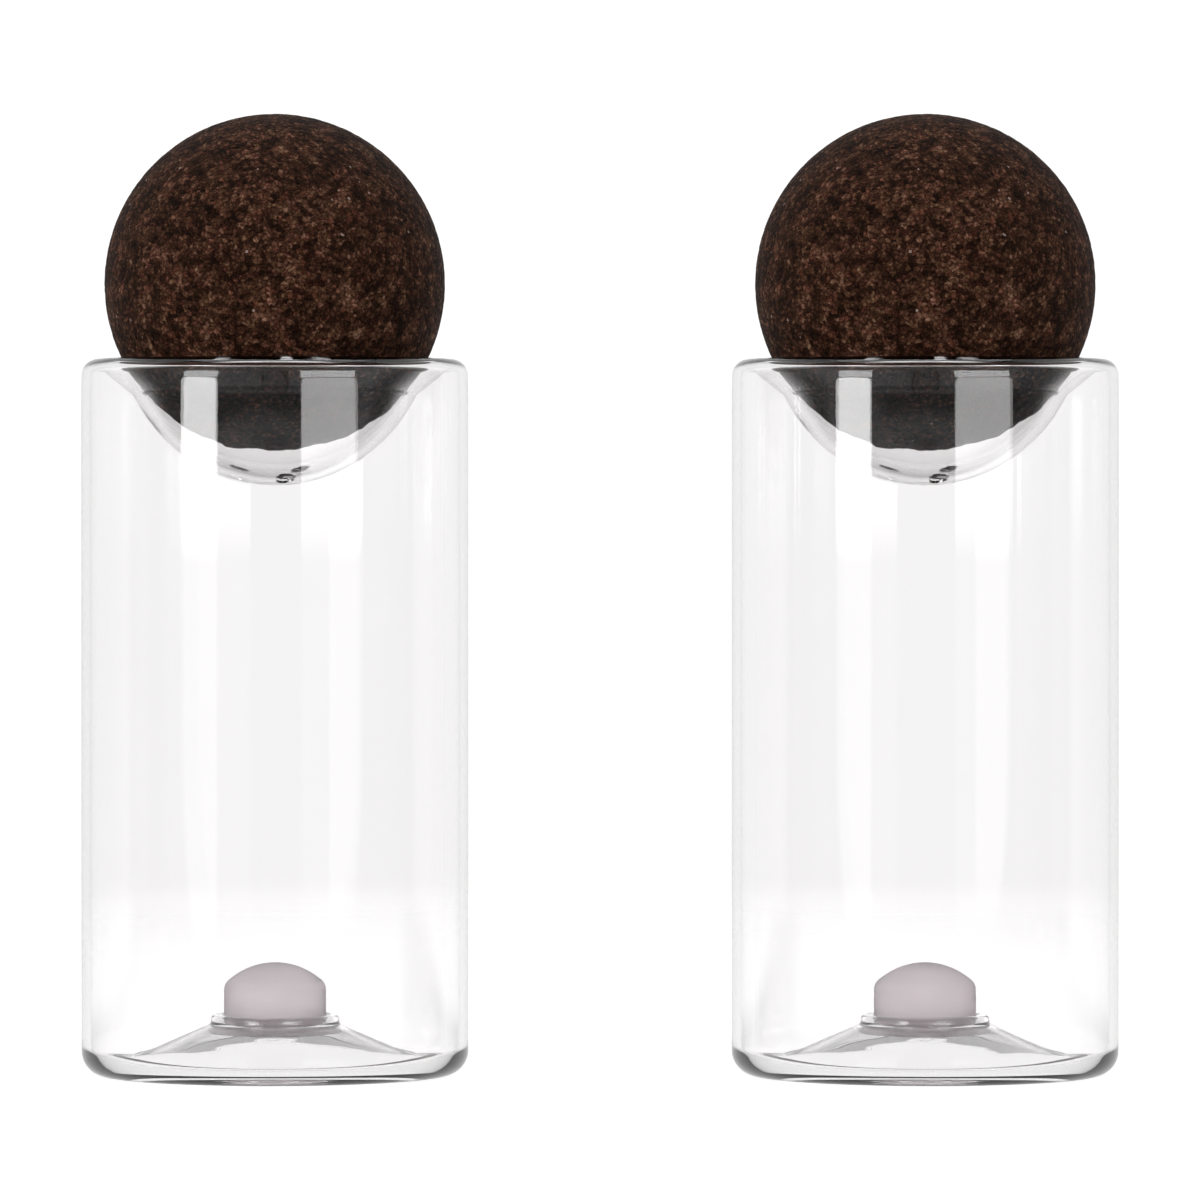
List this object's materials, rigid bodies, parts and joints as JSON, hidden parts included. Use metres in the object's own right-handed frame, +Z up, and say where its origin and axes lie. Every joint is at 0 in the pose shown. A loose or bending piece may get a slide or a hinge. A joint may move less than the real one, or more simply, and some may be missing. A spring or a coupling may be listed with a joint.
{
  "type": "salt and pepper shakers",
  "caption": "Pair of clear glass cylinder shakers, each with a bowl-shaped pouring top closed by a loose cork ball and a soft plug in the base.",
  "frame": {"origin": "on the table plane, midway between the axes of the two shakers", "axes": "+X from the salt shaker to the pepper shaker, +Y away from the viewer, +Z up"},
  "size_m": [0.134, 0.05, 0.1242],
  "materials": {
    "clear_glass": "gloss",
    "dark_cork": "matte",
    "grey_silicone": "satin"
  },
  "bodies": {
    "salt_shaker": {"salt_glass": "clear_glass"},
    "salt_stopper": {"salt_cork_ball": "dark_cork"},
    "salt_plug": {"salt_base_plug": "grey_silicone"},
    "pepper_shaker": {"pepper_glass": "clear_glass"},
    "pepper_stopper": {"pepper_cork_ball": "dark_cork"},
    "pepper_plug": {"pepper_base_plug": "grey_silicone"}
  },
  "joints": [
    {"name": "salt_ball_lift", "type": "slide", "parent": "salt_shaker", "child": "salt_stopper", "axis": [0, 0, 1], "range_m": [0, 0.045]},
    {"name": "salt_plug_pull", "type": "slide", "parent": "salt_shaker", "child": "salt_plug", "axis": [0, 0, -1], "range_m": [0, 0.02]},
    {"name": "pepper_shaker_lift", "type": "slide", "parent": "salt_shaker", "child": "pepper_shaker", "axis": [0, 0, 1], "range_m": [0, 0.13]},
    {"name": "pepper_ball_lift", "type": "slide", "parent": "pepper_shaker", "child": "pepper_stopper", "axis": [0, 0, 1], "range_m": [0, 0.045]},
    {"name": "pepper_plug_pull", "type": "slide", "parent": "pepper_shaker", "child": "pepper_plug", "axis": [0, 0, -1], "range_m": [0, 0.02]}
  ]
}
